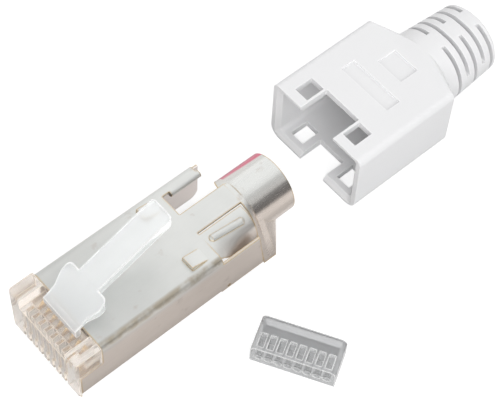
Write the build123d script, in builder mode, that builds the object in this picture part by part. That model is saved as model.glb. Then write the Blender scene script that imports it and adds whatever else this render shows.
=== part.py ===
from build123d import *
from math import acos, atan2, cos, degrees, radians, sin, sqrt
import os

os.makedirs("parts", exist_ok=True)

# A shielded eight-way modular plug, its cable boot and its load bar, laid out apart.
# The nose of the plug is at x = 0, the cable leaves towards +X, the latch is up,
# and everything lies on the plane z = 0. Sizes are in millimetres.

# Driving sizes of the plug
plug_width = 11.7
plug_height = 7.3
sheet = 0.3
sheet_corner = 0.9
fit_gap = 0.05
nose_length = 3.3
side_reach_x = 0.4
side_reach_height = 4.0
floor_start_x = 6.3
fold_relief = 0.95
sleeve_end_x = 19.6
housing_end_x = 19.2

# Nose and contacts
contact_count = 8
contact_pitch = 1.02
contact_thickness = 0.35
contact_slot = 0.47
contact_front_x = 0.75
contact_rear_x = 3.5
contact_bottom = 0.5
contact_tooth = 1.1
contact_head_room = 0.3
contact_window_drop = 1.2
nose_recess_width = 7.8
nose_recess_depth = 1.3
wire_slot_cover = 1.0
wire_slot_height = 1.2
wire_slot_width = 8.5
wire_slot_front_x = 1.6

# Chamber that takes the load bar and the cable
bar_clearance_across = 0.4
bar_clearance_up = 0.3
guide_cover = 1.9
guide_front_x = 5.2
chamber_floor = 1.1
chamber_cover = 1.4
chamber_front_x = 10.5

# Latch, which bends at its root on the nose
hinge_x = 2.65
hinge_radius = 0.35
hinge_gap = 0.1
latch_width = 3.25
latch_root_width = 5.4
latch_shoulder_width = 6.4
latch_shoulder_x = 6.35
latch_shoulder_rise = 2.9
latch_tip_x = 16.25
latch_tip_rise = 6.7
latch_thickness = 1.15
latch_base_rise = 0.45

# Catches for the boot on the top of the shell
catch_front_x = 16.25
catch_length = 2.2
catch_height = 0.45
catch_inner_y = 3.0
catch_width = 1.75

# Rear of the shell: two side cheeks, a bridge, the crimp barrel and two flaps
cheek_end_x = 25.5
cheek_drop = 1.0
cheek_foot = 0.5
left_cheek_corner = 1.2
right_cheek_corner = 0.2
right_cheek_cut = 0.75
bridge_width = 3.0
slit = 0.25
barrel_start_x = 26.35
barrel_end_x = 31.8
mouth_start_x = 24.85
mouth_slant = 0.63
bridge_flat_end_x = 25.65
shoulder_start_x = 25.65
shoulder_round_x = 26.6
shoulder_end_x = 27.35
shoulder_close_x = 29.4
shoulder_seam = 1.3
shoulder_front_y = 1.3
shoulder_front_radius = 3.0
shoulder_close_angle = 23.72
shoulder_close_inset = 0.0455
shoulder_sink = 0.08
mouth_front_y = 0.7
mouth_front_radius = 2.75
mouth_foot = (-3.7, 0)
flap_bend_y = 2.2
flap_root_y = 5.3
flap_root_drop = 0.35
flap_bent_x = 20.9
flap_bent_y = 5.4
flap_bent_drop = 1.45
flap_rear_y = 4.55
flap_rear_drop = 3.3
bead_radius = 0.4
bead_tip_radius = 0.18
bead_tip_length = 0.25
bead_front = (20.35, -2.95)
bead_front_drop = 0.1
bead_rear = (24.3, -3.3)
bead_rear_drop = 0.15
flange_end_x = 24.5
curl_start_x = 20.6
curl_radius = 0.42
curl_bore = 0.17
curl_y = 4.45
pilot_x = 20.5
pilot_z = 0.95
pilot_radius = 0.2

# Boot
boot_x = 37.9
boot_side_wall = 1.1
boot_top_wall = 0.9
boot_body_length = 14.4
boot_shoulder_length = 1.9
boot_length = 24.7
boot_corner = 0.8
boot_clearance = 0.15
boot_cavity_depth = 13.2
boot_mouth_chamfer = 0.5
boot_foot_corner = 1.5
neck_spread = 0.8
neck_step = 0.2
tail_width = 8.8
tail_height = 8.4
tail_chamfer = 0.3
barrel_room_clearance = 0.2
barrel_room_depth = 17.2
cable_radius = 3.0
relief_bore = 3.3
window_length = 2.5
window_width = 2.0
window_x = 1.2
top_notch_length = 3.9
top_notch_width = 5.3
bottom_notch_length = 3.2
bottom_notch_width = 3.9
groove_count = 5
groove_first_x = 18.3
groove_pitch = 1.37
groove_width = 0.55
groove_bridge = 2.4
panel_depth = 0.25
panels = ((45.0, 1.95, 7.5), (48.9, 2.6, 3.8))

# Load bar, lying beside the plug
bar_x = 20.8
bar_y = -16.8
bar_turn = -60.0
bar_length = 9.5
bar_depth = 4.2
bar_height = 2.8
bar_pitch = 1.08
bar_hole_radius = 0.42
bar_hole_height = 1.1
bar_lip = 0.45
bar_groove_width = 0.66
bar_roof_length = 2.1
bar_pocket_width = 8.5
bar_pocket_floor = 0.6
bar_pocket_roof = 2.1
bar_end_radius = 0.7

# Sizes that follow from them
inner_width = plug_width - 2 * sheet
nose_recess_floor = plug_height - nose_recess_depth
wire_slot_floor = nose_recess_floor - wire_slot_cover - wire_slot_height
contact_tip = wire_slot_floor + wire_slot_height - contact_head_room
contact_shoulder = contact_tip - contact_tooth
contact_window = contact_shoulder - contact_window_drop
guide_roof = plug_height - guide_cover
guide_floor = guide_roof - bar_height - bar_clearance_up
chamber_roof = plug_height - chamber_cover
chamber_width = bar_length + bar_clearance_across
hinge_z = nose_recess_floor + hinge_radius + hinge_gap
latch_shoulder_z = plug_height + latch_shoulder_rise
latch_tip_z = plug_height + latch_tip_rise
latch_base_z = plug_height + latch_base_rise
cheek_height = plug_height - cheek_drop
barrel_radius = plug_height / 2
bead_start = (*bead_front, plug_height - bead_front_drop)
bead_end = (*bead_rear, plug_height - bead_rear_drop)
boot_width = plug_width + 2 * (boot_clearance + boot_side_wall)
boot_height = plug_height + 2 * (boot_clearance + boot_top_wall)
neck_height = boot_height - neck_step
neck_width = neck_height + neck_spread
barrel_room_radius = barrel_radius + barrel_room_clearance
contact_ys = [(i - (contact_count - 1) / 2) * contact_pitch for i in range(contact_count)]
barrel_axis_z = plug_height - barrel_radius
barrel_bore = barrel_radius - sheet
shoulder_close_reach = barrel_radius - shoulder_close_inset
shoulder_close_foot = (-shoulder_close_reach * cos(radians(shoulder_close_angle)),
                       barrel_axis_z - shoulder_close_reach * sin(radians(shoulder_close_angle)))
boot_axis_z = boot_height / 2
window_y = catch_inner_y + catch_width / 2 + 0.05


def across(x):
    """Plane across the plug at x, with local x to the left (+Y) and local y up."""
    return Plane.YZ.offset(x)


def span(sketch_plane, y0, z0, y1, z1):
    """Rectangle between two corners (y, z) on a plane across the plug."""
    with BuildSketch(sketch_plane) as face:
        with Locations(((y0 + y1) / 2, (z0 + z1) / 2)):
            Rectangle(abs(y1 - y0), abs(z1 - z0))
    return face.sketch


def shoulder_face(x, center, radius, foot, inset=0):
    """Right part of the shoulder at x: an arc, then the tangent down to the foot; inset draws it in."""
    middle = Vector(*center)
    reach = Vector(*foot) - middle
    turn = degrees(atan2(reach.Y, -reach.X)) + degrees(acos(radius / reach.length))
    normal = Vector(-cos(radians(turn)), sin(radians(turn)))
    touch = middle + normal * (radius - inset)
    drop = Vector(-normal.Y, normal.X)
    end = touch + drop * ((touch.Y - foot[1] + 10 * inset) / -drop.Y)
    seam_y = -shoulder_seam + inset / 10
    seam_turn = degrees(acos((-seam_y + center[0]) / (radius - inset)))
    with BuildSketch(across(x)) as face:
        with BuildLine():
            arc = CenterArc(center, radius - inset, 180 - seam_turn, seam_turn - turn)
            Line(arc @ 1, (end.X, end.Y))
            Line((end.X, end.Y), (seam_y, end.Y))
            Line((seam_y, end.Y), arc @ 0)
        make_face()
    return face.sketch


def bridge_face(x, bow, sink=0):
    """Section of the bridge at x, bowed down at its two margins and sunk as a whole."""
    half = bridge_width / 2
    top = plug_height - sink
    with BuildSketch(across(x)) as face:
        with BuildLine():
            ThreePointArc((-half, top - bow), (0, top), (half, top - bow))
            Line((half, top - bow), (half, top - bow - sheet))
            ThreePointArc((half, top - bow - sheet), (0, top - sheet), (-half, top - bow - sheet))
            Line((-half, top - bow - sheet), (-half, top - bow))
        make_face()
    return face.sketch


def flap_face(x, reach_y, drop):
    """Section of the right flap at x: flat beside the bridge, then an arc down to its edge."""
    across_y = reach_y - flap_bend_y
    radius = (across_y ** 2 + drop ** 2) / (2 * drop)
    turn = degrees(atan2(across_y, radius - drop))
    inner_y = -bridge_width / 2 - slit
    with BuildSketch(across(x)) as face:
        with BuildLine():
            outer_arc = CenterArc((-flap_bend_y, plug_height - radius), radius, 90, turn)
            inner_arc = CenterArc((-flap_bend_y, plug_height - radius), radius - sheet, 90, turn)
            Line(outer_arc @ 0, (inner_y, plug_height))
            Line((inner_y, plug_height), (inner_y, plug_height - sheet))
            Line((inner_y, plug_height - sheet), inner_arc @ 0)
            Line(outer_arc @ 1, inner_arc @ 1)
        make_face()
    return face.sketch


# Housing: clear moulded body with the nose, the contact slots and the wire chamber
with BuildPart() as housing:
    extrude(span(across(0), -plug_width / 2, 0, plug_width / 2, plug_height), nose_length - fit_gap)
    front_edges = housing.edges().filter_by(Axis.Z).group_by(Axis.X)[0]
    front_edges += housing.edges().filter_by(Axis.Y).group_by(Axis.X)[0]
    fillet(front_edges, 0.45)
    # Body inside the shell, and the bare foot in front of the shell's floor
    with BuildSketch(across(nose_length / 2)):
        with Locations((0, plug_height / 2)):
            RectangleRounded(inner_width - 2 * fit_gap, plug_height - 2 * (sheet + fit_gap),
                             sheet_corner - sheet)
    extrude(amount=housing_end_x - nose_length / 2)
    extrude(span(across(nose_length / 2), -inner_width / 2 + 0.1, 0, inner_width / 2 - 0.1, plug_height / 2),
            floor_start_x - fit_gap - nose_length / 2)
    # The shell's side walls lie in these two rebates
    for side in (-1, 1):
        extrude(span(across(side_reach_x - fit_gap), side * (inner_width / 2 - fit_gap), -1,
                     side * (plug_width / 2 + 1), side_reach_height + fit_gap),
                nose_length, mode=Mode.SUBTRACT)
    # Recess for the root of the latch, between the two top blocks
    extrude(span(across(-1), -nose_recess_width / 2, nose_recess_floor, nose_recess_width / 2,
                 plug_height + 1), nose_length + 1 + fit_gap, mode=Mode.SUBTRACT)
    # Wire slot above the contacts, and the chamber behind it
    extrude(span(across(wire_slot_front_x), -wire_slot_width / 2, wire_slot_floor,
                 wire_slot_width / 2, wire_slot_floor + wire_slot_height),
            guide_front_x - wire_slot_front_x, mode=Mode.SUBTRACT)
    extrude(span(across(guide_front_x), -chamber_width / 2, guide_floor, chamber_width / 2,
                 guide_roof), chamber_front_x - guide_front_x, mode=Mode.SUBTRACT)
    extrude(span(across(chamber_front_x), -chamber_width / 2, chamber_floor, chamber_width / 2,
                 chamber_roof), housing_end_x - chamber_front_x, mode=Mode.SUBTRACT)
    # One slot for each contact, open below and at the foot of the front
    for y in contact_ys:
        with BuildSketch(Plane.XZ.offset(-y)) as slot_face:
            with BuildLine():
                Polyline((-1, -1), (-1, contact_window), (contact_front_x - 0.1, contact_window),
                         (contact_front_x - 0.1, contact_tip + 0.15), (contact_rear_x + 0.1, contact_tip + 0.15),
                         (contact_rear_x + 0.1, -1), close=True)
            make_face()
        extrude(amount=contact_slot / 2, both=True, mode=Mode.SUBTRACT)
housing.part.label = "housing"
export_step(housing.part, "parts/housing.step")

# Contacts: gold-plated blades with two teeth that bite into the wire
contacts = []
for number, y in enumerate(contact_ys, start=1):
    with BuildPart() as contact:
        with BuildSketch(Plane.XZ.offset(-y)):
            with BuildLine():
                tooth = (contact_rear_x - contact_front_x) / 4
                Polyline((contact_front_x, contact_bottom), (contact_front_x, contact_shoulder),
                         (contact_front_x + 0.4 * tooth, contact_shoulder),
                         (contact_front_x + 1.0 * tooth, contact_tip),
                         (contact_front_x + 2.0 * tooth, contact_shoulder),
                         (contact_front_x + 3.0 * tooth, contact_tip),
                         (contact_front_x + 3.6 * tooth, contact_shoulder),
                         (contact_rear_x, contact_shoulder), (contact_rear_x, contact_bottom), close=True)
            make_face()
        extrude(amount=contact_thickness / 2, both=True)
        nose_edge = contact.edges().filter_by(Axis.Y).group_by(Axis.Z)[0].sort_by(Axis.X)[0]
        fillet(nose_edge, 0.45)
    contact.part.label = f"contact_{number}"
    export_step(contact.part, f"parts/contact_{number}.step")
    contacts.append(contact)

# Latch: T-shaped spring arm of clear plastic that bends at its root
with BuildPart() as latch_lever:
    # Wide base, from the root on the nose up to the two locking shoulders
    with BuildSketch(Plane.XZ) as base_face:
        with BuildLine():
            Polyline((hinge_x - hinge_radius, hinge_z), (hinge_x - hinge_radius, plug_height + 0.1),
                     (hinge_x + 0.3, latch_base_z), (latch_shoulder_x, latch_shoulder_z),
                     (latch_shoulder_x, latch_shoulder_z - latch_thickness - 0.35),
                     (hinge_x + hinge_radius + 1.0, plug_height + 0.55),
                     (hinge_x + hinge_radius, plug_height + 0.1),
                     (hinge_x + hinge_radius, hinge_z), close=True)
        make_face()
        with Locations((hinge_x, hinge_z)):
            Circle(hinge_radius)
    extrude(amount=latch_shoulder_width / 2, both=True)
    # The base narrows a little towards its root
    with BuildSketch(Plane.XY.offset(0)) as base_plan:
        with BuildLine():
            Polyline((0, latch_root_width / 2), (hinge_x + 1.2, latch_root_width / 2),
                     (latch_shoulder_x - 1.2, latch_shoulder_width / 2),
                     (latch_shoulder_x, latch_shoulder_width / 2),
                     (latch_shoulder_x, -latch_shoulder_width / 2),
                     (latch_shoulder_x - 1.2, -latch_shoulder_width / 2),
                     (hinge_x + 1.2, -latch_root_width / 2), (0, -latch_root_width / 2), close=True)
        make_face()
        fillet(base_plan.vertices().group_by(Axis.X)[-1], 0.7)
    extrude(amount=latch_tip_z + 1, mode=Mode.INTERSECT)
    # Narrow finger lever
    with BuildSketch(Plane.XZ) as lever_face:
        with BuildLine():
            Polyline((latch_shoulder_x - 1.0, latch_shoulder_z - 0.75),
                     (latch_shoulder_x, latch_shoulder_z),
                     (latch_tip_x, latch_tip_z), (latch_tip_x, latch_tip_z - latch_thickness),
                     (latch_shoulder_x, latch_shoulder_z - latch_thickness),
                     (latch_shoulder_x - 1.0, latch_shoulder_z - latch_thickness - 0.75), close=True)
        make_face()
    extrude(amount=latch_width / 2, both=True)
    tip_edges = latch_lever.edges().filter_by(Axis.Z).group_by(Axis.X)[-1]
    fillet(tip_edges, 0.5)
latch_lever.part.label = "latch_lever"
export_step(latch_lever.part, "parts/latch_lever.step")

# Shell: one folded sheet with sleeve, side cheeks, bridge, crimp barrel and flaps
with BuildPart() as shield_shell:
    with BuildSketch(across(side_reach_x)) as sleeve_face:
        with Locations((0, plug_height / 2)):
            RectangleRounded(plug_width, plug_height, sheet_corner)
            RectangleRounded(inner_width, plug_height - 2 * sheet, sheet_corner - sheet,
                             mode=Mode.SUBTRACT)
    extrude(amount=sleeve_end_x - side_reach_x)
    # Open over the nose and under the contacts
    extrude(span(across(-1), -plug_width, side_reach_height, plug_width, plug_height + 1),
            nose_length + 1, mode=Mode.SUBTRACT)
    extrude(span(across(-1), -inner_width / 2, -1, inner_width / 2, sheet + 0.5),
            floor_start_x + 1, mode=Mode.SUBTRACT)
    # Relief notches where the fold of the floor begins
    for side in (-1, 1):
        extrude(span(across(floor_start_x - 0.2), side * (inner_width / 2 - 0.5), -1,
                     side * plug_width, 0.45), fold_relief, mode=Mode.SUBTRACT)
    # Side cheeks: rounded below on the left, cut back above on the right
    for side, corner, cut_back in ((1, left_cheek_corner, 0), (-1, right_cheek_corner, right_cheek_cut)):
        with BuildSketch(Plane.XZ.offset(-side * plug_width / 2)) as cheek_face:
            with BuildLine():
                Polyline((sleeve_end_x - 0.1, cheek_foot), (cheek_end_x, cheek_foot),
                         (cheek_end_x - cut_back, cheek_height), (sleeve_end_x - 0.1, cheek_height),
                         close=True)
            make_face()
            fillet(cheek_face.vertices().group_by(Axis.Y)[0].sort_by(Axis.X)[-1], corner)
        extrude(amount=side * sheet)
    # Crimp barrel, whose front is cut aslant from the top down
    with BuildSketch(Plane.XZ):
        with BuildLine():
            Polyline((mouth_start_x, plug_height), (mouth_start_x + mouth_slant * (plug_height + 1), -1),
                     (mouth_start_x - 1, -1), (mouth_start_x - 1, plug_height), close=True)
        make_face()
    ahead = extrude(amount=plug_width / 2, both=True, mode=Mode.PRIVATE)
    with BuildSketch(across(barrel_start_x)):
        with Locations((0, barrel_axis_z)):
            Circle(barrel_radius)
            Circle(barrel_bore, mode=Mode.SUBTRACT)
    barrel = extrude(amount=barrel_end_x - barrel_start_x, mode=Mode.PRIVATE)
    add(barrel - ahead)
    # Bridge from the top of the sleeve to the barrel, bowed to meet its curve
    extrude(span(across(sleeve_end_x - 0.1), -bridge_width / 2, plug_height - sheet,
                 bridge_width / 2, plug_height), bridge_flat_end_x - sleeve_end_x + 0.2)
    bow = barrel_radius - sqrt(barrel_radius ** 2 - bridge_width ** 2 / 4)
    loft([bridge_face(bridge_flat_end_x, 0.01), bridge_face(shoulder_round_x, bow, shoulder_sink)])
    # Right shoulder: the barrel's curve runs on, then slants down to the foot of the cheek
    shoulder_sections = [(shoulder_start_x, (-shoulder_front_y, plug_height - shoulder_front_radius),
                          shoulder_front_radius, (-plug_width / 2, 0)),
                         (shoulder_round_x, (0, barrel_axis_z), barrel_radius - shoulder_sink,
                          (-plug_width / 2, 0)),
                         (shoulder_end_x, (0, barrel_axis_z), barrel_radius - shoulder_sink,
                          (-plug_width / 2, 0)),
                         (shoulder_close_x, (0, barrel_axis_z), barrel_radius - shoulder_sink,
                          shoulder_close_foot)]
    for front, rear in zip(shoulder_sections, shoulder_sections[1:]):
        loft([shoulder_face(*front), shoulder_face(*rear)])
    with BuildSketch(across(barrel_start_x)):
        with Locations((0, barrel_axis_z)):
            Circle(barrel_radius)
    core = extrude(amount=barrel_end_x - barrel_start_x, mode=Mode.PRIVATE)
    for front, rear in zip(shoulder_sections, shoulder_sections[1:]):
        hollow = loft([shoulder_face(front[0] - 0.01 if front[0] == shoulder_start_x else front[0] - 0.12,
                                     *front[1:], sheet),
                       shoulder_face(rear[0] - 0.12, *rear[1:], sheet)], mode=Mode.PRIVATE)
        add(hollow - core, mode=Mode.SUBTRACT)
    # Left of the bridge the sheet rolls down towards the barrel, up to the slanted cut
    mouth_center = (-mouth_front_y, plug_height - mouth_front_radius)
    mouth = loft([shoulder_face(mouth_start_x, mouth_center, mouth_front_radius, mouth_foot),
                  shoulder_face(shoulder_end_x, *shoulder_sections[1][1:3], mouth_foot)], mode=Mode.PRIVATE)
    room = loft([shoulder_face(mouth_start_x - 0.01, mouth_center, mouth_front_radius, mouth_foot, sheet),
                 shoulder_face(shoulder_end_x + 0.01, *shoulder_sections[1][1:3], mouth_foot, sheet)],
                mode=Mode.PRIVATE)
    add(mirror(mouth - room - ahead, about=Plane.XZ, mode=Mode.PRIVATE))
    with BuildSketch(across(shoulder_start_x - 1)):
        with Locations((0, barrel_axis_z)):
            Circle(barrel_bore)
    extrude(amount=barrel_end_x - shoulder_start_x + 2, mode=Mode.SUBTRACT)
    # Right flap, rolled down further and further towards its rear edge
    flap_sections = [flap_face(sleeve_end_x - 0.1, flap_root_y, flap_root_drop),
                     flap_face(flap_bent_x, flap_bent_y, flap_bent_drop),
                     flap_face(shoulder_start_x - slit, flap_rear_y, flap_rear_drop)]
    for front, rear in zip(flap_sections, flap_sections[1:]):
        loft([front, rear])
    # Stiffening bead pressed up along the right flap
    bead_line = Edge.make_line(bead_start, bead_end)
    with BuildSketch(Plane(origin=bead_start, z_dir=bead_line % 0)):
        Circle(bead_radius)
    extrude(amount=bead_line.length)
    for end_point, away in ((bead_start, -1), (bead_end, 1)):
        with Locations(Plane(origin=end_point, z_dir=(bead_line % 0) * away)):
            Cone(bead_radius, bead_tip_radius, bead_tip_length, align=(Align.CENTER, Align.CENTER, Align.MIN))
    # Left flange, bent in from the cheek, with its inner margin curled under
    with BuildSketch(across(sleeve_end_x - 0.1)):
        with Locations((0, plug_height / 2)):
            RectangleRounded(plug_width, plug_height, sheet_corner)
            RectangleRounded(inner_width, plug_height - 2 * sheet, sheet_corner - sheet,
                             mode=Mode.SUBTRACT)
        with Locations((curl_y + plug_width / 2, plug_height)):
            Rectangle(plug_width, plug_height, mode=Mode.INTERSECT)
    extrude(amount=flange_end_x - sleeve_end_x + 0.1)
    curl_z = plug_height - curl_radius
    with BuildSketch(across(curl_start_x)):
        with Locations((curl_y, curl_z)):
            Circle(curl_radius)
    extrude(amount=flange_end_x + 0.25 - curl_start_x)
    with BuildSketch(across(curl_start_x + 1)):
        with Locations((curl_y, curl_z)):
            Circle(curl_bore)
    extrude(amount=cheek_end_x - curl_start_x, mode=Mode.SUBTRACT)
    # Catches for the boot windows, steep towards the nose
    for side in (-1, 1):
        with BuildSketch(Plane.XZ.offset(-side * catch_inner_y)):
            with BuildLine():
                Polyline((catch_front_x, plug_height - sheet / 2), (catch_front_x, plug_height + catch_height),
                         (catch_front_x + 0.4, plug_height + catch_height),
                         (catch_front_x + catch_length, plug_height),
                         (catch_front_x + catch_length, plug_height - sheet / 2), close=True)
            make_face()
        extrude(amount=-side * catch_width)
    # Small pilot hole in the right cheek
    with BuildSketch(Plane.XZ.offset(inner_width / 2 - 0.5)):
        with Locations((pilot_x, pilot_z)):
            Circle(pilot_radius)
    extrude(amount=sheet + 1, mode=Mode.SUBTRACT)
shield_shell.part.label = "shield_shell"
export_step(shield_shell.part, "parts/shield_shell.step")

# Boot: white moulding that slides over the shell, with a slotted strain relief
boot_cavity_width = plug_width + 2 * boot_clearance
boot_cavity_height = plug_height + 2 * boot_clearance
body_end_x = boot_x + boot_body_length
neck_x = body_end_x + boot_shoulder_length
boot_end_x = boot_x + boot_length
relief_end = groove_first_x + (groove_count - 1) * groove_pitch + groove_width / 2


def rounded(x, width, height, top_corner, bottom_corner):
    """Rounded rectangle across the boot at x, centred on the boot's axis."""
    with BuildSketch(across(x)) as face:
        with Locations((0, boot_axis_z)):
            Rectangle(width, height)
        fillet(face.vertices().group_by(Axis.Y)[-1], top_corner)
        fillet(face.vertices().group_by(Axis.Y)[0], bottom_corner)
    return face.sketch


with BuildPart() as boot:
    extrude(rounded(boot_x, boot_width, boot_height, boot_corner, boot_foot_corner), boot_body_length)
    loft([rounded(body_end_x, boot_width, boot_height, boot_corner, boot_foot_corner),
          rounded(neck_x, neck_width, neck_height, neck_height / 2 - 0.1, neck_height / 2 - 0.1)])
    loft([rounded(neck_x, neck_width, neck_height, neck_height / 2 - 0.1, neck_height / 2 - 0.1),
          rounded(boot_end_x, tail_width, tail_height, tail_height / 2 - 0.1, tail_height / 2 - 0.1)])
    chamfer(boot.faces().sort_by(Axis.X)[-1].edges(), tail_chamfer)
    # Cavity for the plug, room for the crimp barrel, and the cable hole
    extrude(rounded(boot_x - 1, boot_cavity_width, boot_cavity_height, 0.6, 0.6),
            boot_cavity_depth + 1, mode=Mode.SUBTRACT)
    loft([rounded(boot_x - 0.001, boot_cavity_width + 2 * boot_mouth_chamfer,
                  boot_cavity_height + 2 * boot_mouth_chamfer, 0.6, 0.6),
          rounded(boot_x + boot_mouth_chamfer, boot_cavity_width, boot_cavity_height, 0.6, 0.6)],
         mode=Mode.SUBTRACT)
    for radius, depth in ((barrel_room_radius, barrel_room_depth),
                          (relief_bore, relief_end), (cable_radius, boot_length + 1)):
        with BuildSketch(across(boot_x)):
            with Locations((0, boot_axis_z)):
                Circle(radius)
        extrude(amount=depth, mode=Mode.SUBTRACT)
    # Notches at the mouth, above for the latch and below
    extrude(span(across(boot_x - 1), -top_notch_width / 2, boot_axis_z, top_notch_width / 2,
                 boot_height + 1), top_notch_length + 1, mode=Mode.SUBTRACT)
    extrude(span(across(boot_x - 1), -bottom_notch_width / 2, -1, bottom_notch_width / 2,
                 boot_axis_z), bottom_notch_length + 1, mode=Mode.SUBTRACT)
    # Windows that snap over the catches
    for side in (-1, 1):
        extrude(span(across(boot_x + window_x), side * window_y - window_width / 2, -1,
                     side * window_y + window_width / 2, boot_height + 1),
                window_length, mode=Mode.SUBTRACT)
    # Two plain sunk panels on the top
    for front_x, length, width in panels:
        extrude(span(across(front_x), -width / 2, boot_height - panel_depth, width / 2,
                     boot_height + 1), length, mode=Mode.SUBTRACT)
    # Strain relief slots, left and right in odd rows, above and below in even rows
    for row in range(groove_count):
        front_x = boot_x + groove_first_x + row * groove_pitch - groove_width / 2
        for side in (-1, 1):
            if row % 2 == 0:
                cut = span(across(front_x), side * groove_bridge / 2, -1, side * boot_width, boot_height + 1)
            else:
                cut = span(across(front_x), -boot_width / 2, boot_axis_z + side * groove_bridge / 2,
                           boot_width / 2, boot_axis_z + side * boot_height)
            extrude(cut, groove_width, mode=Mode.SUBTRACT)
boot.part.label = "boot"
export_step(boot.part, "parts/boot.step")

# Load bar: clear block with eight wire ways in front and a roofed pocket behind
bar_plane = Plane(origin=(bar_x, bar_y, 0),
                  x_dir=(cos(radians(bar_turn)), sin(radians(bar_turn)), 0), z_dir=(0, 0, 1))
bar_front = Plane(origin=bar_plane.from_local_coords(Vector(0, -bar_depth / 2, 0)),
                  x_dir=bar_plane.x_dir, z_dir=-bar_plane.y_dir)
with BuildPart() as load_bar:
    with BuildSketch(bar_front) as bar_face:
        with Locations((0, bar_height / 2)):
            Rectangle(bar_length, bar_height)
        top_corners = bar_face.vertices().group_by(Axis.Y)[-1]
        fillet(top_corners, bar_end_radius)
    extrude(amount=-bar_depth)
    # Eight round ways in the front face
    with BuildSketch(bar_front):
        with GridLocations(bar_pitch, 1, contact_count, 1):
            with Locations((0, bar_hole_height)):
                Circle(bar_hole_radius)
    extrude(amount=-(bar_depth - bar_roof_length), mode=Mode.SUBTRACT)
    # Grooves, open above, between the front lip and the roof
    with BuildSketch(bar_front.offset(-bar_lip)):
        with GridLocations(bar_pitch, 1, contact_count, 1):
            with Locations((0, bar_hole_height + bar_height / 2)):
                Rectangle(bar_groove_width, bar_height)
    extrude(amount=-(bar_depth - bar_roof_length - bar_lip), mode=Mode.SUBTRACT)
    # Common pocket under the roof, open at the rear
    with BuildSketch(bar_front.offset(-(bar_depth - bar_roof_length))):
        with Locations((0, (bar_pocket_floor + bar_pocket_roof) / 2)):
            Rectangle(bar_pocket_width, bar_pocket_roof - bar_pocket_floor)
    extrude(amount=-bar_roof_length, mode=Mode.SUBTRACT)
load_bar.part.label = "load_bar"
export_step(load_bar.part, "parts/load_bar.step")
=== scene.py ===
import math

import bpy
from mathutils import Matrix, Vector

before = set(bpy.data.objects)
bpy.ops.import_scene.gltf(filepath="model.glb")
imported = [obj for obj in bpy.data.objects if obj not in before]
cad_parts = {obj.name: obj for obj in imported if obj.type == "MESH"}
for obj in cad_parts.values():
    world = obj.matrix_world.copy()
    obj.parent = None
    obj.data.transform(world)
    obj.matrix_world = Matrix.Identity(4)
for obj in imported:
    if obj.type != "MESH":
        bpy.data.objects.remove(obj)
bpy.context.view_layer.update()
bpy.ops.object.select_all(action="DESELECT")

MM = 0.001

# Camera, in degrees and metres, at the photograph's angle
VIEW_AZIMUTH = 226.4
VIEW_ELEVATION = 57.8
VIEW_ROLL = 3.3
VIEW_TARGET = Vector((29.66, 1.25, 0.0)) * MM
VIEW_DISTANCE = 183.1 * MM
LENS_PER_WIDTH = 1617 / 500
SENSOR_WIDTH = 36.0
CLIP_START = 0.01
CLIP_END = 10.0

# World: brighter toward the horizon, and most on its +Y side
WORLD_LEVEL = 0.60
HORIZON_LEVEL = 0.90
FAR_HORIZON_LEVEL = 1.0
HORIZON_SPREAD = 0.6

# Lamps, in metres and watts
KEY_PLACE = (0.39, 0.275, 0.52)
KEY_WATTS = 1.08
KEY_SIZE = 0.85
SIDE_PLACE = (-0.22, -0.42, 0.36)
SIDE_WATTS = 2.2
SIDE_SIZE = 0.55
LAMP_AIM = Vector((0.03, 0.0, 0.0))

# Floor, in metres. Its glow is what the camera and the metal see of it, lamps apart
FLOOR_SIZE = 3.0
FLOOR_X = 0.03
FLOOR_Z = -0.00002
FLOOR_COLOR = (0.42, 0.42, 0.42)
FLOOR_GLOW_SEEN = 0.75
FLOOR_GLOW_NEAR = 0.26
FLOOR_GLOW_FAR = 0.54
GLOW_NEAR_Y = 0.008
GLOW_FAR_Y = 0.014
FLOOR_GLOW_UNDER = 0.50
UNDER_START_X = 0.014
UNDER_FULL_X = 0.018
UNDER_FULL_Y = 0.005
UNDER_END_Y = 0.006

# Dark card that the barrel mirrors, in metres
CARD_DIRECTION = Vector((0.367, -0.88, 0.29))
CARD_CENTRE = Vector((0.028, 0.0, 0.006))
CARD_DISTANCE = 0.5
CARD_HEIGHT = 0.34
CARD_WIDTH = 0.36
CARD_COLOR = (0.04, 0.04, 0.045)
CARD_ROUGHNESS = 0.9

# Directions along which a point is measured
LENGTHWISE = (1.0, 0.0, 0.0)
LEFTWARD = (0.0, 1.0, 0.0)
UPWARD = (0.0, 0.0, 1.0)
RIGHT_AND_UP = (0.0, -1.0, 1.0)

# Crimp barrel and the red mark on it, in millimetres and radians
BARREL_RADIUS = 3.65
BARREL_AXIS_Z = 3.65
BARREL_FRONT = 26.35
STREAK_ANGLE = math.radians(38.0)
STREAK_HALF_WIDTH = math.radians(10.0)
STREAK_FLARE = 0.023
STREAK_SOFTNESS = 0.05

# Where the shell's colours change, in millimetres
TOP_SHADE_X = (3.0, 18.0)
FOOT_Z = (0.2, 2.4)
SIDE_TO_TOP_Z = (5.6, 7.2)
BEND_REACH = (12.32, 12.57)
INNER_FACE_Y = (5.2, 5.65)
INNER_FACE_SOFTNESS = 0.02
INNER_FACE_TOP_Z = (6.4, 6.6)
POLISH_X = (BARREL_FRONT - 1.5, BARREL_FRONT + 0.5)

# Shares of the shell's painted shade, its painted reflection along the bend and its stains, and
# the bands of noise that they show in
TOP_SHADE_SHARE = 0.45
FOOT_SHADE_SHARE = 0.55
BEND_REFLECTION_BAND, BEND_REFLECTION_SHARE = (0.35, 0.60), (0.25, 0.85)
STAIN_BAND, STAIN_SHARE = (0.62, 0.72), (0.0, 0.4)

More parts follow.
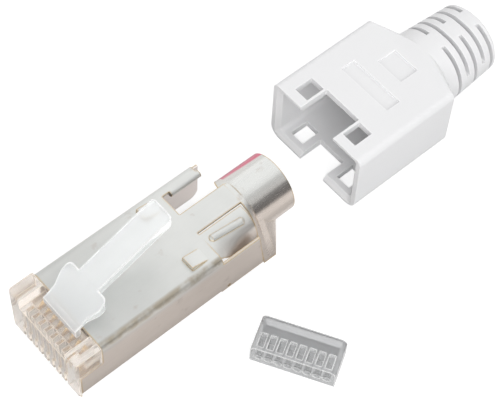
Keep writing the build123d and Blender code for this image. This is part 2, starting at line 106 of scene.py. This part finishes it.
# Colours of the shell
TOP_GREY, TOP_PALE = (0.70, 0.71, 0.69), (0.80, 0.805, 0.785)
# Painted shade that darkens the front of the top
TOP_SHADE = (0.46, 0.465, 0.45)
# Painted reflection: warm brown on the sides, standing for the floor that they mirror
SIDE_REFLECTION_BROWN, SIDE_REFLECTION_PALE = (0.655, 0.58, 0.525), (0.735, 0.66, 0.60)
# Painted shade at the foot of the sides
FOOT_SHADE = (0.52, 0.46, 0.42)
# Painted reflection: the dark band that the right bend mirrors
BEND_REFLECTION_DARK = (0.44, 0.38, 0.29)
STAIN = (0.50, 0.43, 0.38)
CUT_DARK, CUT_BRIGHT = (0.46, 0.32, 0.16), (0.78, 0.62, 0.38)
RED_MARK = (0.70, 0.17, 0.25)
# Painted light on the left cheek's inner face
INNER_FACE_PAINTED_LIGHT = (0.97, 0.90, 0.86)

# Colours of the gold and of the boot, with a painted highlight on the boot's edges
GOLD_DARK, GOLD_BRIGHT = (0.80, 0.55, 0.22), (0.92, 0.70, 0.36)
BOOT_WHITE, BOOT_PALE = (0.81, 0.81, 0.82), (0.845, 0.845, 0.85)
BOOT_EDGE_HIGHLIGHT = (0.93, 0.93, 0.935)

# Clear plastics by piece; their pale edges are a painted highlight, whose radius is in
# millimetres
CLEAR_PLASTICS = {
    "housing": dict(name="clear_body_plastic", color=(0.98, 0.925, 0.87),
                    edge_highlight=(0.97, 0.88, 0.77), edge_radius=0.22,
                    rough=(0.08, 0.16), transmission=0.76, ior=1.25),
    "latch_lever": dict(name="clear_latch_plastic", color=(0.985, 0.995, 1.0),
                        edge_highlight=(1.0, 1.0, 1.0), edge_radius=0.40,
                        rough=(0.08, 0.16), transmission=0.62, ior=1.20),
    "load_bar": dict(name="clear_bar_plastic", color=(0.53, 0.535, 0.54),
                     edge_highlight=(0.98, 0.98, 0.98), edge_radius=0.30,
                     rough=(0.06, 0.14), transmission=0.66, ior=1.25),
}
CLEAR_DEPTH = 0.97
CLEAR_EDGE_TRANSMISSION = 0.25

# Middle band of a noise texture, spread over the whole range of what it drives
NOISE_BAND = (0.3, 0.7)
NOISE_ROUGHNESS = 0.55
EDGE_SAMPLES = 6

# Roughness of the opaque surfaces, and what polish leaves of it on the barrel
SHEET_ROUGHNESS = (0.36, 0.48)
BARREL_POLISH = 0.60
GOLD_ROUGHNESS = (0.14, 0.32)
BOOT_ROUGHNESS = (0.36, 0.50)


# Nodes

def put(tree, socket, value):
    """Gives a socket a number, a colour, a vector or another node's output."""
    if isinstance(value, bpy.types.NodeSocket):
        tree.links.new(value, socket)
    elif socket.type == "RGBA":
        socket.default_value = (*value, 1.0)
    else:
        socket.default_value = value


def combine(tree, kind, operation, first, second):
    """The result of a math node, or of a vector math node, on two inputs."""
    node = tree.nodes.new(kind)
    node.operation = operation
    put(tree, node.inputs[0], first)
    put(tree, node.inputs[1], second)
    return node.outputs["Value"]


def product(tree, first, second):
    return combine(tree, "ShaderNodeMath", "MULTIPLY", first, second)


def larger(tree, first, second):
    return combine(tree, "ShaderNodeMath", "MAXIMUM", first, second)


def dot(tree, first, second):
    return combine(tree, "ShaderNodeVectorMath", "DOT_PRODUCT", first, second)


def coordinates(tree, kind):
    return tree.nodes.new("ShaderNodeTexCoord").outputs[kind]


def split(tree, vector):
    """The outputs X, Y and Z of a vector."""
    node = tree.nodes.new("ShaderNodeSeparateXYZ")
    tree.links.new(vector, node.inputs["Vector"])
    return node.outputs


def stretched(tree, vector, factors):
    """The same coordinates, scaled by a factor along each axis."""
    node = tree.nodes.new("ShaderNodeMapping")
    node.inputs["Scale"].default_value = factors
    tree.links.new(vector, node.inputs["Vector"])
    return node.outputs["Vector"]


def place_in_mm(tree):
    return stretched(tree, coordinates(tree, "Object"), (1 / MM, 1 / MM, 1 / MM))


def noise(tree, vector, scale, detail):
    node = tree.nodes.new("ShaderNodeTexNoise")
    node.inputs["Scale"].default_value = scale
    node.inputs["Detail"].default_value = detail
    node.inputs["Roughness"].default_value = NOISE_ROUGHNESS
    tree.links.new(vector, node.inputs["Vector"])
    return node.outputs["Fac"]


def remap(tree, value, limits, low, high):
    """A value between two limits, carried over to the range from low to high."""
    node = tree.nodes.new("ShaderNodeMapRange")
    node.inputs["From Min"].default_value, node.inputs["From Max"].default_value = limits
    put(tree, node.inputs["To Min"], low)
    put(tree, node.inputs["To Max"], high)
    tree.links.new(value, node.inputs["Value"])
    return node.outputs["Result"]


def between(tree, value, limits, soft):
    """1 where a value lies between two limits, with soft ends."""
    low, high = limits
    above = remap(tree, value, (low - soft, low + soft), 0.0, 1.0)
    below = remap(tree, value, (high - soft, high + soft), 1.0, 0.0)
    return product(tree, above, below)


def mix_color(tree, factor, first, second):
    node = tree.nodes.new("ShaderNodeMix")
    node.data_type = "RGBA"
    put(tree, node.inputs["Factor"], factor)
    put(tree, node.inputs["A"], first)
    put(tree, node.inputs["B"], second)
    return node.outputs["Result"]


def edge_mask(tree, radius_mm, limits):
    """1 along sharp edges and on the thin cut edges of a sheet, 0 elsewhere."""
    soft = tree.nodes.new("ShaderNodeBevel")
    soft.samples = EDGE_SAMPLES
    soft.inputs["Radius"].default_value = radius_mm * MM
    geometry = tree.nodes.new("ShaderNodeNewGeometry")
    likeness = dot(tree, soft.outputs["Normal"], geometry.outputs["Normal"])
    return remap(tree, likeness, limits, 1.0, 0.0)


def ray_kind(tree, *kinds):
    """1 for rays of the kinds named."""
    path = tree.nodes.new("ShaderNodeLightPath")
    value = path.outputs[kinds[0]]
    for kind in kinds[1:]:
        value = larger(tree, value, path.outputs[kind])
    return value


# Materials

def new_material(name, color, roughness, metallic=0.0, transmission=0.0, ior=1.5):
    """A material with one Principled shader; returns it and its node tree."""
    mat = bpy.data.materials.new(name)
    mat.use_nodes = True
    for socket, value in (("Base Color", color), ("Roughness", roughness), ("Metallic", metallic),
                          ("Transmission Weight", transmission), ("IOR", ior)):
        drive(mat.node_tree, socket, value)
    return mat, mat.node_tree


def drive(tree, socket, value):
    put(tree, tree.nodes["Principled BSDF"].inputs[socket], value)


def bump(tree, height, distance_mm, strength):
    node = tree.nodes.new("ShaderNodeBump")
    node.inputs["Strength"].default_value = strength
    node.inputs["Distance"].default_value = distance_mm * MM
    tree.links.new(height, node.inputs["Height"])
    drive(tree, "Normal", node.outputs["Normal"])


def red_streak(tree, place, x):
    """1 on the thin red mark along the barrel's left side, wider toward its rear."""
    outward = (STREAK_FLARE, math.cos(STREAK_ANGLE), math.sin(STREAK_ANGLE))
    limit = (BARREL_RADIUS * math.cos(STREAK_HALF_WIDTH)
             + BARREL_AXIS_Z * math.sin(STREAK_ANGLE) + STREAK_FLARE * BARREL_FRONT)
    inside = remap(tree, dot(tree, place, outward),
                   (limit - STREAK_SOFTNESS, limit + STREAK_SOFTNESS), 0.0, 1.0)
    behind = remap(tree, x, (BARREL_FRONT, BARREL_FRONT + 2 * STREAK_SOFTNESS), 0.0, 1.0)
    return product(tree, inside, behind)


def make_sheet_metal():
    mat, tree = new_material("satin_nickel_sheet", (0.72, 0.69, 0.66), 0.38, metallic=0.88)
    place = place_in_mm(tree)
    x, y, z = (dot(tree, place, axis) for axis in (LENGTHWISE, LEFTWARD, UPWARD))

    # Cool grey on top, with painted shade darkening its front; a painted reflection makes the
    # sides warm brown, and painted shade is darkest at their foot
    cloud = noise(tree, place, scale=0.25, detail=4.0)
    top = mix_color(tree, cloud, TOP_GREY, TOP_PALE)
    top = mix_color(tree, remap(tree, x, TOP_SHADE_X, TOP_SHADE_SHARE, 0.0), top, TOP_SHADE)
    side = mix_color(tree, cloud, SIDE_REFLECTION_BROWN, SIDE_REFLECTION_PALE)
    side = mix_color(tree, remap(tree, z, FOOT_Z, FOOT_SHADE_SHARE, 0.0), side, FOOT_SHADE)
    color = mix_color(tree, remap(tree, z, SIDE_TO_TOP_Z, 0.0, 1.0), side, top)

    # Painted dark reflection along the right bend, broken into patches of noise, and a few stains
    bend = remap(tree, dot(tree, place, RIGHT_AND_UP), BEND_REACH, 0.0, 1.0)
    patches = noise(tree, place, scale=0.8, detail=4.0)
    patches = remap(tree, patches, BEND_REFLECTION_BAND, *BEND_REFLECTION_SHARE)
    color = mix_color(tree, product(tree, bend, patches), color, BEND_REFLECTION_DARK)
    stain = noise(tree, place, scale=0.55, detail=5.0)
    stain = remap(tree, stain, STAIN_BAND, *STAIN_SHARE)
    color = mix_color(tree, stain, color, STAIN)

    # Brass-coloured cut edges, the red mark, and painted light that brightens the left cheek's
    # inner face
    raw = mix_color(tree, noise(tree, place, scale=2.0, detail=3.0), CUT_DARK, CUT_BRIGHT)
    color = mix_color(tree, edge_mask(tree, radius_mm=0.32, limits=(0.86, 0.98)), color, raw)
    color = mix_color(tree, red_streak(tree, place, x), color, RED_MARK)
    inner = product(tree, between(tree, y, INNER_FACE_Y, INNER_FACE_SOFTNESS),
                    remap(tree, z, INNER_FACE_TOP_Z, 1.0, 0.0))
    drive(tree, "Base Color", mix_color(tree, inner, color, INNER_FACE_PAINTED_LIGHT))

    # Rolling grain, smoother on the barrel
    grain = noise(tree, stretched(tree, place, (0.35, 5.0, 5.0)), scale=1.0, detail=4.0)
    polish = remap(tree, x, POLISH_X, 1.0, BARREL_POLISH)
    rough = remap(tree, grain, NOISE_BAND, *SHEET_ROUGHNESS)
    drive(tree, "Roughness", product(tree, rough, polish))
    bump(tree, grain, distance_mm=0.002, strength=0.06)
    return mat


def make_clear(name, color, edge_highlight, edge_radius, rough, transmission, ior):
    mat, tree = new_material(name, color, rough[0], transmission=transmission, ior=ior)
    place = place_in_mm(tree)
    edges = edge_mask(tree, radius_mm=edge_radius, limits=(0.82, 0.98))
    deeper = tuple(CLEAR_DEPTH * part for part in color)
    body = mix_color(tree, noise(tree, place, scale=0.3, detail=2.0), deeper, color)
    # Painted highlight: pale edges that let less light through than the body
    drive(tree, "Base Color", mix_color(tree, edges, body, edge_highlight))
    drive(tree, "Transmission Weight",
          remap(tree, edges, (0.0, 1.0), transmission, CLEAR_EDGE_TRANSMISSION * transmission))
    haze = noise(tree, place, scale=0.5, detail=4.0)
    drive(tree, "Roughness", remap(tree, haze, NOISE_BAND, *rough))
    flow = noise(tree, stretched(tree, place, (0.4, 1.0, 1.0)), scale=0.6, detail=2.0)
    bump(tree, flow, distance_mm=0.06, strength=0.25)
    return mat


def make_gold():
    mat, tree = new_material("gold_plating", (0.86, 0.62, 0.28), 0.2, metallic=1.0)
    rub = noise(tree, stretched(tree, place_in_mm(tree), (3.0, 1.0, 0.5)), scale=3.0, detail=4.0)
    drive(tree, "Roughness", remap(tree, rub, NOISE_BAND, *GOLD_ROUGHNESS))
    drive(tree, "Base Color", mix_color(tree, rub, GOLD_DARK, GOLD_BRIGHT))
    bump(tree, rub, distance_mm=0.01, strength=0.2)
    return mat


def make_boot_plastic():
    mat, tree = new_material("white_moulded_plastic", (0.92, 0.92, 0.93), 0.42)
    drive(tree, "Subsurface Weight", 0.08)
    drive(tree, "Subsurface Radius", (1.0, 1.0, 1.0))
    drive(tree, "Subsurface Scale", 0.6 * MM)
    place = place_in_mm(tree)
    color = mix_color(tree, noise(tree, place, scale=0.15, detail=3.0), BOOT_WHITE, BOOT_PALE)
    # Painted highlight: the boot's edges paler than its body
    edges = edge_mask(tree, radius_mm=0.3, limits=(0.85, 0.99))
    drive(tree, "Base Color", mix_color(tree, edges, color, BOOT_EDGE_HIGHLIGHT))
    grain = noise(tree, place, scale=6.0, detail=4.0)
    drive(tree, "Roughness", remap(tree, grain, NOISE_BAND, *BOOT_ROUGHNESS))
    bump(tree, grain, distance_mm=0.03, strength=0.22)
    return mat


dress = {"shield_shell": make_sheet_metal()}
for piece, look in CLEAR_PLASTICS.items():
    dress[piece] = make_clear(**look)
gold = make_gold()
dress["boot"] = make_boot_plastic()

for node_name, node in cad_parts.items():
    node.data.materials.clear()
    node.data.materials.append(dress.get(node_name, gold))


# Floor, light and camera

def glow_beside(tree):
    """The floor's mirrored glow: weaker close beside the row of parts than farther out."""
    place = split(tree, coordinates(tree, "Object"))
    beside = combine(tree, "ShaderNodeMath", "ABSOLUTE", place["Y"], 0.0)
    level = remap(tree, beside, (GLOW_NEAR_Y, GLOW_FAR_Y), FLOOR_GLOW_NEAR, FLOOR_GLOW_FAR)
    # Under the rear of the plug it is strong again
    rear = remap(tree, place["X"], (UNDER_START_X - FLOOR_X, UNDER_FULL_X - FLOOR_X),
                 0.0, FLOOR_GLOW_UNDER)
    under = remap(tree, beside, (UNDER_FULL_Y, UNDER_END_Y), rear, 0.0)
    return larger(tree, level, under)


def make_floor():
    bpy.ops.mesh.primitive_plane_add(size=FLOOR_SIZE, location=(FLOOR_X, 0.0, FLOOR_Z))
    floor = bpy.context.object
    floor.name = "floor"
    mat = bpy.data.materials.new("pale_floor")
    mat.use_nodes = True
    tree = mat.node_tree
    tree.nodes.clear()
    diffuse = tree.nodes.new("ShaderNodeBsdfDiffuse")
    put(tree, diffuse.inputs["Color"], FLOOR_COLOR)
    surface = diffuse.outputs["BSDF"]
    for rays, strength in (
            (ray_kind(tree, "Is Camera Ray", "Is Transmission Ray"), FLOOR_GLOW_SEEN),
            (ray_kind(tree, "Is Glossy Ray"), glow_beside(tree))):
        glow = tree.nodes.new("ShaderNodeEmission")
        put(tree, glow.inputs["Strength"], product(tree, rays, strength))
        both = tree.nodes.new("ShaderNodeAddShader")
        tree.links.new(surface, both.inputs[0])
        tree.links.new(glow.outputs["Emission"], both.inputs[1])
        surface = both.outputs["Shader"]
    out = tree.nodes.new("ShaderNodeOutputMaterial")
    tree.links.new(surface, out.inputs["Surface"])
    floor.data.materials.append(mat)


def make_world():
    """White for the camera, and a soft grey dome with a bright horizon for everything else."""
    world = bpy.data.worlds.new("studio")
    bpy.context.scene.world = world
    world.use_nodes = True
    tree = world.node_tree
    toward = split(tree, coordinates(tree, "Generated"))
    horizon = remap(tree, toward["Y"], (0.0, HORIZON_SPREAD), HORIZON_LEVEL, FAR_HORIZON_LEVEL)
    dome = remap(tree, toward["Z"], (0.0, HORIZON_SPREAD), horizon, WORLD_LEVEL)
    seen = ray_kind(tree, "Is Camera Ray", "Is Transmission Ray")
    back = tree.nodes["Background"]
    put(tree, back.inputs["Strength"], larger(tree, dome, seen))
    put(tree, back.inputs["Color"], (1.0, 1.0, 1.0))


def make_lamp(name, place, watts, size):
    data = bpy.data.lights.new(name, "AREA")
    data.energy = watts
    data.size = size
    lamp = bpy.data.objects.new(name, data)
    bpy.context.scene.collection.objects.link(lamp)
    lamp.location = place
    aim = LAMP_AIM - Vector(place)
    lamp.rotation_euler = aim.to_track_quat("-Z", "Y").to_euler()


def make_dark_card():
    """A dark card beside the set, which shows only in reflections, as a studio flag does."""
    place = CARD_DIRECTION.normalized() * CARD_DISTANCE + CARD_CENTRE
    bpy.ops.mesh.primitive_plane_add(size=1.0, location=place)
    card = bpy.context.object
    card.name = "dark_card"
    card.scale = (CARD_HEIGHT, CARD_WIDTH, 1.0)
    card.rotation_euler = (-place).to_track_quat("Z", "X").to_euler()
    felt, _ = new_material("dark_card_felt", CARD_COLOR, CARD_ROUGHNESS)
    card.data.materials.append(felt)
    card.visible_camera = False
    card.visible_diffuse = False
    card.visible_shadow = False
    card.visible_transmission = False


def make_camera():
    azimuth, elevation, roll = (math.radians(angle)
                                for angle in (VIEW_AZIMUTH, VIEW_ELEVATION, VIEW_ROLL))
    back = Vector((math.cos(elevation) * math.cos(azimuth),
                   math.cos(elevation) * math.sin(azimuth), math.sin(elevation)))
    right = Vector((0, 0, 1)).cross(back).normalized()
    up = back.cross(right)
    turned_right = right * math.cos(roll) + up * math.sin(roll)
    turned_up = up * math.cos(roll) - right * math.sin(roll)
    data = bpy.data.cameras.new("camera")
    data.sensor_width = SENSOR_WIDTH
    data.lens = LENS_PER_WIDTH * SENSOR_WIDTH
    data.clip_start = CLIP_START
    data.clip_end = CLIP_END
    camera = bpy.data.objects.new("camera", data)
    bpy.context.scene.collection.objects.link(camera)
    turn = Matrix((turned_right, turned_up, back)).transposed().to_4x4()
    camera.matrix_world = Matrix.Translation(VIEW_TARGET + back * VIEW_DISTANCE) @ turn
    bpy.context.scene.camera = camera


make_floor()
make_world()
make_lamp("key_light", KEY_PLACE, KEY_WATTS, KEY_SIZE)
make_lamp("side_light", SIDE_PLACE, SIDE_WATTS, SIDE_SIZE)
make_dark_card()
make_camera()
bpy.context.scene.view_settings.view_transform = "Standard"
